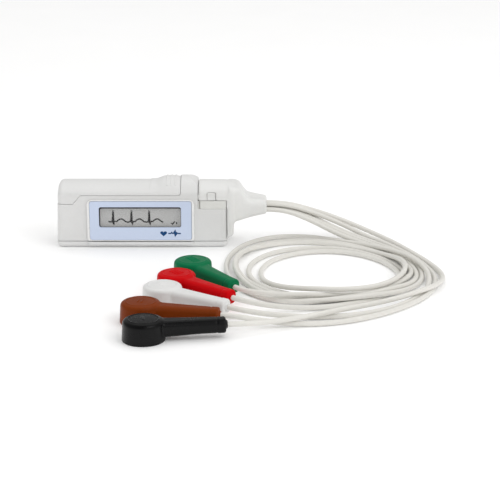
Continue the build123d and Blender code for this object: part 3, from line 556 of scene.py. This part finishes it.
def plug_shape(x, y, z):
    yc = y - PYC
    hy = 9.0
    side = np.abs(yc) - hy
    arch = np.hypot(yc, z - (PTOP - 13.77)) - 13.77
    tilt = (z - (23.85 - (x - 32.0) * 0.36)) * 0.94
    top = smax(arch, tilt, 1.6)
    block = smax(top, side, 2.3)
    block = smax(block, PX - x, 1.15)
    block = smax(block, x - 34.5, 1.5)
    foot = np.where(x > 32.05, 3.4 + (x - 32.1) * 0.62, 3.4)
    low = smin(np.maximum(15.15 - z, PX - x), np.maximum(32.08 - x, (foot - z) * 0.85), 0.05)
    block = smax(block, low, 0.35)
    w = half_w(x)
    zt = top_front(x) + (top_rear(x) - top_front(x)) * step(-1.5, -0.7, yc)
    nose = smax(np.abs(yc) - w, (z - zt) * 0.8, 2.2)
    nose = smax(nose, low_edge(x) - z, 1.7)
    nose = smax(nose, x - 46.9, 0.9)
    nose = np.maximum(nose, 33.0 - x)
    body = smin(block, nose, 1.3)
    # skirt that closes the gap to the case
    skirt = np.minimum(box_sdf(x, y, z, 21.09, 22.0, PYC - 8.4, PYC + 8.4, 18.45, 20.2, 0.1),
                       box_sdf(x, y, z, 21.09, 22.0, PYC - 5.5, PYC + 5.5, 20.0, 22.2, 0.1))
    body = np.minimum(body, skirt)
    # room for the connector block, its pins and the contact fingers
    cut = box_sdf(x, y, z, 20.0, 31.8, PYC - 6.75, PYC + 6.75, 13.0, 18.18)
    cut = np.minimum(cut, box_sdf(x, y, z, 20.0, 31.8, PYC - 12.0, PYC, 13.0, 18.18))
    cut = np.minimum(cut, box_sdf(x, y, z, 22.4, 31.81, PYC - 5.2, PYC + 5.2, 17.0, 18.8))
    body = smax(body, -cut, 0.28)
    inner = box_sdf(x, y, z, 34.0, 41.7, PYC - 3.0, PYC + 3.0, 12.6, 15.6)
    inner = np.minimum(inner, box_sdf(x, y, z, 41.5, 48.0, PYC - 3.1, PYC + 3.1, 12.1, 15.95))
    inner = np.minimum(inner, box_sdf(x, y, z, 31.9, 34.05, PYC - 5.6, PYC + 5.6, 13.0, 19.2))
    body = np.maximum(body, -inner)
    # pockets of the squeeze tabs, each with a shallow finger gap on its right
    for s_, z_low in ((-1, 18.13), (1, 18.58)):
        deep = box_sdf(x, yc * s_, z, 24.6, 27.75, 6.4, 12.0, z_low, 21.1, 0.35)
        dish = box_sdf(x, yc * s_, z, 24.6, 28.25, 8.62, 12.0, z_low, 21.1, 0.35)
        body = smax(smax(body, -deep, 0.1), -dish, 0.25)
    return body


plug_pieces = [nodes[n] for n in ("strain_relief", "plug_core", "plug_contacts", "plug_latch_front", "plug_latch_rear")]
for name, side_, node_ in (("plug_shell_front", 1, "plug_front_shell"), ("plug_shell_rear", -1, "plug_rear_shell")):
    pts, quads = surface(lambda x, y, z: np.maximum(plug_shape(x, y, z), side_ * (y - PYC)),
                         (20.6, (qy0 - 0.5) if side_ > 0 else PYC - 0.5, 2.9), (47.5, PYC + 0.5 if side_ > 0 else qy2 + 0.5, 24.6), 0.21)
    shell = piece(name, pts, quads, "lead_set", MAT["plug_white"])
    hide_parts(node_)
    plug_pieces.append(shell)

# ------------------------------------------------------------------ display
def slab(name, outline, y, depth, body, material, holes=(), bevel=0.0):
    """Thin plate in XZ with its front at y, from an outline in millimetres; holes are outlines too."""
    c = bpy.data.curves.new(name, "CURVE")
    c.dimensions = "2D"
    c.fill_mode = "BOTH"
    for pts in (outline, *holes):
        sp = c.splines.new("POLY")
        sp.points.add(len(pts) - 1)
        for p, (px, pz) in zip(sp.points, pts):
            p.co = (px * MM, pz * MM, 0, 1)
        sp.use_cyclic_u = True
    c.extrude = (depth / 2 - bevel) * MM
    c.bevel_depth = bevel * MM
    c.bevel_resolution = 2
    tmp = bpy.data.objects.new(name + "_c", c)
    scene.collection.objects.link(tmp)
    bpy.context.view_layer.update()
    me = bpy.data.meshes.new_from_object(tmp.evaluated_get(bpy.context.evaluated_depsgraph_get()))
    bpy.data.objects.remove(tmp)
    me.transform(Matrix.Translation((0, (y + depth / 2) * MM, 0)) @ Matrix.Rotation(math.radians(90), 4, "X"))
    me.materials.clear()
    me.materials.append(material)
    o = bpy.data.objects.new(name, me)
    scene.collection.objects.link(o)
    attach(o, body)
    return o


def rounded(x0, x1, z0, z1, r, n=6):
    pts = []
    for cx, cz, a0 in ((x1 - r, z1 - r, 0), (x0 + r, z1 - r, 90), (x0 + r, z0 + r, 180), (x1 - r, z0 + r, 270)):
        for i in range(n + 1):
            a = math.radians(a0 + 90 * i / n)
            pts.append((cx + r * math.cos(a), cz + r * math.sin(a)))
    return pts


def stroke(points, width):
    """Outline of a pen line through the points: widths taper where a list is given."""
    ws = width if isinstance(width, (list, tuple)) else [width] * len(points)
    left, right = [], []
    for i, (x, z) in enumerate(points):
        a, b = points[max(i - 1, 0)], points[min(i + 1, len(points) - 1)]
        dx, dz = b[0] - a[0], b[1] - a[1]
        k = math.hypot(dx, dz) or 1
        nx, nz = -dz / k, dx / k
        if 0 < i < len(points) - 1:
            ux, uz = x - a[0], z - a[1]
            vx, vz = b[0] - x, b[1] - z
            c_ = (ux * vx + uz * vz) / ((math.hypot(ux, uz) * math.hypot(vx, vz)) or 1)
            m = 1 / max(math.sqrt(max((1 + c_) / 2, 0)), 0.45)
        else:
            m = 1
        w = ws[i] / 2 * m
        left.append((x + nx * w, z + nz * w))
        right.append((x - nx * w, z - nz * w))
    return left + right[::-1]


(wx0, _, wz0), (wx1, _, wz1) = [[c / MM for c in p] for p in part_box("lcd_window")]
OPEN_X, OPEN_Z = (wx0 + 0.8, wx1 - 0.8), (wz0 + 0.8, wz1 - 0.8)
y_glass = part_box("lcd_window")[0][1] / MM
y_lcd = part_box("lcd_module")[0][1] / MM
y_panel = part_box("front_panel")[0][1] / MM


def ink(name, colour, rough=0.5):
    return moulded(name, colour, rough, grain=5200.0, depth=0.000002, vary=0.06, spec=0.25)


INK_LCD = ink("m_ink_lcd", srgb(8, 8, 10))
INK_BLUE = ink("m_ink_blue", srgb(14, 66, 116))
# the dark grey of the display edge is partly print and partly painted shade of the recess
EDGE_PRINT_AND_SHADE = ink("m_edge_print_and_painted_shade", srgb(58, 59, 62))

# dark edge inside the opening, wider at the top and the left: a thin printed border plus painted shade where the panel
# edge shades the recessed display
ox0, ox1 = OPEN_X
oz0, oz1 = OPEN_Z
slab("lcd_edge_print_and_painted_shade", rounded(ox0 - 0.6, ox1 + 0.6, oz0 - 0.6, oz1 + 0.6, 0.5), y_glass - 0.03, 0.03, "recorder", EDGE_PRINT_AND_SHADE,
     holes=[rounded(ox0 + 0.42, ox1 - 0.16, oz0 + 0.14, oz1 - 0.74, 0.7)])


def lcd(px, pz):
    return ox0 + px * (ox1 - ox0), oz0 + pz * (oz1 - oz0) - 0.3


BEAT = [(0.000, 0.250), (0.012, 0.262), (0.022, 0.340), (0.044, 0.262), (0.048, 0.262)]
base, humps = 0.265, 0.40
trace = [(0.110, 0.29), (0.122, 0.255), (0.150, 0.25), (0.160, 0.34)]
for k, at in enumerate((0.166, 0.390, 0.606)):
    trace += [(at - 0.006, 0.34), (at, 0.80), (at + 0.009, 0.28), (at + 0.013, 0.13), (at + 0.020, 0.28),
              (at + 0.032, 0.275), (at + 0.045, 0.262), (at + 0.062, 0.33), (at + 0.084, 0.385), (at + 0.108, 0.395),
              (at + 0.132, 0.335), (at + 0.152, 0.265)]
    if k < 2:
        trace += [(at + 0.178, 0.235), (at + 0.205, 0.25)]
    else:
        trace += [(at + 0.174, 0.235)]
slab("lcd_trace", stroke([lcd(*p) for p in trace], 0.53), y_lcd - 0.06, 0.04, "recorder", INK_LCD)
for k, at in enumerate((0.166, 0.390, 0.606)):
    spike = [lcd(at - 0.017, 0.30), lcd(at - 0.004, 0.84), lcd(at + 0.003, 0.84), lcd(at + 0.015, 0.30),
             lcd(at + 0.019, 0.12), lcd(at + 0.010, 0.12)]
    slab(f"lcd_spike_{k + 1}", spike, y_lcd - 0.07, 0.04, "recorder", INK_LCD)
# small tick and bar at the lower right
bx0, bz0 = lcd(0.875, 0.12)
slab("lcd_sign_tick", stroke([(bx0, bz0 + 0.6), (bx0 + 0.5, bz0 + 0.12), (bx0 + 1.4, bz0 + 1.2)], 0.42), y_lcd - 0.06, 0.04,
     "recorder", INK_LCD)
slab("lcd_sign_bar", rounded(bx0 + 1.85, bx0 + 2.3, bz0 + 0.05, bz0 + 0.9, 0.1), y_lcd - 0.06, 0.04, "recorder", INK_LCD)

# printed heart and pulse on the blue panel
hx_, hz_ = pnx0 + 27.6, pnz0 + 2.5
heart = []
for i in range(48):
    t = 2 * math.pi * i / 48
    heart.append((hx_ + 0.078 * 16 * math.sin(t) ** 3,
                  hz_ + 0.072 * (13 * math.cos(t) - 5 * math.cos(2 * t) - 2 * math.cos(3 * t) - math.cos(4 * t))))
slab("panel_heart", heart, pny0 - 0.03, 0.03, "recorder", INK_BLUE)
px_ = hx_ + 1.75
pulse = [(0, 0), (0.95, 0), (1.25, 0.42), (1.6, 0), (1.9, 0), (2.3, 1.25), (2.85, -1.0), (3.25, 0.42), (3.6, 0), (4.7, 0)]
slab("panel_pulse", stroke([(px_ + a, hz_ + b) for a, b in pulse], 0.46), pny0 - 0.03, 0.03, "recorder", INK_BLUE)

for n_ in ("plug_latch_front", "plug_latch_rear"):
    bv = nodes[n_].modifiers.new("soft_edges", "BEVEL")
    bv.width = 0.14 * MM
    bv.segments = 4
    bv.limit_method = "ANGLE"
    bv.angle_limit = math.radians(40)

# blank rating plate on the back: printed border, polarity signs and a cell outline
(lx0, _, lz0), (lx1, ly1, lz1) = [[c / MM for c in p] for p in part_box("rear_label")]
PLATE = ink("m_ink_plate", srgb(96, 104, 116))
slab("label_border", rounded(lx0 + 0.5, lx1 - 0.5, lz0 + 0.5, lz1 - 0.5, 0.5), ly1, 0.02, "recorder", PLATE,
     holes=[rounded(lx0 + 0.68, lx1 - 0.68, lz0 + 0.68, lz1 - 0.68, 0.4)])
lzc = (lz0 + lz1) / 2
slab("label_cell", rounded(lx0 + 10.0, lx0 + 18.0, lzc - 1.1, lzc + 1.1, 0.3), ly1, 0.02, "recorder", PLATE,
     holes=[rounded(lx0 + 10.25, lx0 + 17.75, lzc - 0.85, lzc + 0.85, 0.15)])
slab("label_cell_end", rounded(lx0 + 18.05, lx0 + 18.6, lzc - 0.45, lzc + 0.45, 0.1), ly1, 0.02, "recorder", PLATE)


def cross(cx_, cz_, a, w):
    return [(cx_ + p * a + q * w, cz_ + r_ * a + t_ * w) for p, q, r_, t_ in (
        (-1, 0, 0, -1), (0, -1, 0, -1), (0, -1, -1, 0), (0, 1, -1, 0), (0, 1, 0, -1), (1, 0, 0, -1),
        (1, 0, 0, 1), (0, 1, 0, 1), (0, 1, 1, 0), (0, -1, 1, 0), (0, -1, 0, 1), (-1, 0, 0, 1))]


slab("label_plus", cross(lx0 + 20.3, lzc, 0.75, 0.14), ly1, 0.02, "recorder", PLATE)
slab("label_minus", rounded(lx0 + 7.2, lx0 + 8.7, lzc - 0.14, lzc + 0.14, 0.05), ly1, 0.02, "recorder", PLATE)
for k_ in range(3):
    slab(f"label_line_{k_ + 1}", rounded(lx0 + 22.4, lx0 + 26.4 - 0.9 * k_, lzc - 1.15 + 0.95 * k_, lzc - 0.85 + 0.95 * k_, 0.1), ly1,
         0.02, "recorder", PLATE)

# clear window
gw = Graph("m_window_clear")
gw.bsdf.inputs["Base Color"].default_value = (0.45, 0.45, 0.45, 1)
gw.bsdf.inputs["Alpha"].default_value = 0.06
gw.link(gw.remap(gw.noise(160.0, 3.0), 0.3, 0.7, 0.05, 0.12), gw.bsdf.inputs["Roughness"])
gw.bsdf.inputs["Specular IOR Level"].default_value = 0.4
nodes["lcd_window"].data.materials.clear()
nodes["lcd_window"].data.materials.append(gw.m)

# display glass: grey polariser with a faint dot grid, which also glows in its own colour as painted light to flatten
# its shading
gl = Graph("m_lcd_glass_painted_glow")
grid_map = gl.new("ShaderNodeMapping")
grid_map.inputs["Scale"].default_value = (3600.0, 3600.0, 3600.0)
gl.link(gl.obj, grid_map.inputs["Vector"])
sep = gl.new("ShaderNodeSeparateXYZ")
gl.link(grid_map.outputs["Vector"], sep.inputs[0])
lx = gl.math("PINGPONG", sep.outputs["X"], 0.5)
lz = gl.math("PINGPONG", sep.outputs["Z"], 0.5)
dots = gl.remap(gl.math("MULTIPLY", gl.remap(lx, 0.03, 0.12), gl.remap(lz, 0.03, 0.12)), 0, 1, 0.4, 1)
lcd_col = gl.mix(dots, srgb(154, 154, 153), srgb(160, 160, 159))
lcd_col = gl.mix(gl.remap(gl.noise(60.0, 3.0), 0.3, 0.7, 0.0, 0.5), lcd_col, srgb(157, 157, 156))
gl.link(lcd_col, gl.bsdf.inputs["Base Color"])
gl.bsdf.inputs["Specular IOR Level"].default_value = 0.2
# painted light: the display glass glows though it is no lamp, evening out its shade
gl.link(lcd_col, gl.bsdf.inputs["Emission Color"])
gl.bsdf.inputs["Emission Strength"].default_value = 0.5
gl.link(gl.remap(gl.noise(900.0, 2.0), 0.3, 0.7, 0.42, 0.5), gl.bsdf.inputs["Roughness"])
nodes["lcd_module"].data.materials.clear()
nodes["lcd_module"].data.materials.append(gl.m)

# ------------------------------------------------------------------ stage
bpy.ops.mesh.primitive_plane_add(size=8.0, location=(0.04, 1.0, 0))
floor = bpy.context.object
floor.name = "floor"
g = Graph("m_floor")
g.link(g.mix(g.remap(g.noise(30.0, 3.0), 0.3, 0.7), (0.95, 0.95, 0.95, 1), (0.965, 0.965, 0.965, 1)), g.bsdf.inputs["Base Color"])
g.bsdf.inputs["Roughness"].default_value = 0.6
g.bsdf.inputs["Specular IOR Level"].default_value = 0.2
g.bsdf.inputs["Emission Color"].default_value = (1, 1, 1, 1)
g.bsdf.inputs["Emission Strength"].default_value = 0.05
floor.data.materials.append(g.m)

world = bpy.data.worlds.new("studio")
scene.world = world
world.use_nodes = True
wt = world.node_tree
wt.nodes["Background"].inputs["Color"].default_value = (1.0, 0.998, 0.994, 1)
tc = wt.nodes.new("ShaderNodeTexCoord")
sep_w = wt.nodes.new("ShaderNodeSeparateXYZ")
wt.links.new(tc.outputs["Generated"], sep_w.inputs[0])
wr = wt.nodes.new("ShaderNodeMapRange")
wr.interpolation_type = "SMOOTHSTEP"
wr.inputs["From Min"].default_value = -0.95
wr.inputs["From Max"].default_value = -0.05
wr.inputs["To Min"].default_value = 0.66
wr.inputs["To Max"].default_value = 0.96
wt.links.new(sep_w.outputs["Y"], wr.inputs["Value"])
lp = wt.nodes.new("ShaderNodeLightPath")
dim = wt.nodes.new("ShaderNodeMapRange")
dim.inputs["To Min"].default_value = 1.0
dim.inputs["To Max"].default_value = 0.36
wt.links.new(lp.outputs["Is Glossy Ray"], dim.inputs["Value"])
mul = wt.nodes.new("ShaderNodeMath")
mul.operation = "MULTIPLY"
wt.links.new(wr.outputs["Result"], mul.inputs[0])
wt.links.new(dim.outputs["Result"], mul.inputs[1])
wt.links.new(mul.outputs[0], wt.nodes["Background"].inputs["Strength"])


def area(name, loc, target, size, power):
    d = bpy.data.lights.new(name, "AREA")
    d.shape = "RECTANGLE"
    d.size, d.size_y = size
    d.energy = power
    o = bpy.data.objects.new(name, d)
    scene.collection.objects.link(o)
    o.location = loc
    o.rotation_euler = (Vector(target) - Vector(loc)).to_track_quat("-Z", "Y").to_euler()
    return o


area("key", (0.58, -0.45, 0.66), (0.03, -0.03, 0.0), (0.55, 0.55), 1.75)
area("fill", (0.5, -0.9, 0.45), (0.03, -0.03, 0.01), (0.7, 0.5), 0.9)
area("top", (0.1, 0.35, 0.9), (0.04, -0.03, 0.0), (0.9, 0.5), 0.9)

cam = bpy.data.cameras.new("camera")
cam_obj = bpy.data.objects.new("camera", cam)
scene.collection.objects.link(cam_obj)
cam_obj.location = (0.0406, -0.5823, 0.1744)
cam_obj.rotation_euler = (math.radians(90 - 17), 0, 0)
cam.sensor_width = 36.0
cam.sensor_fit = "HORIZONTAL"
cam.lens = 36.0 * 1592.0 / 500.0
cam.clip_start = 0.01
scene.camera = cam_obj
scene.view_settings.view_transform = "Standard"
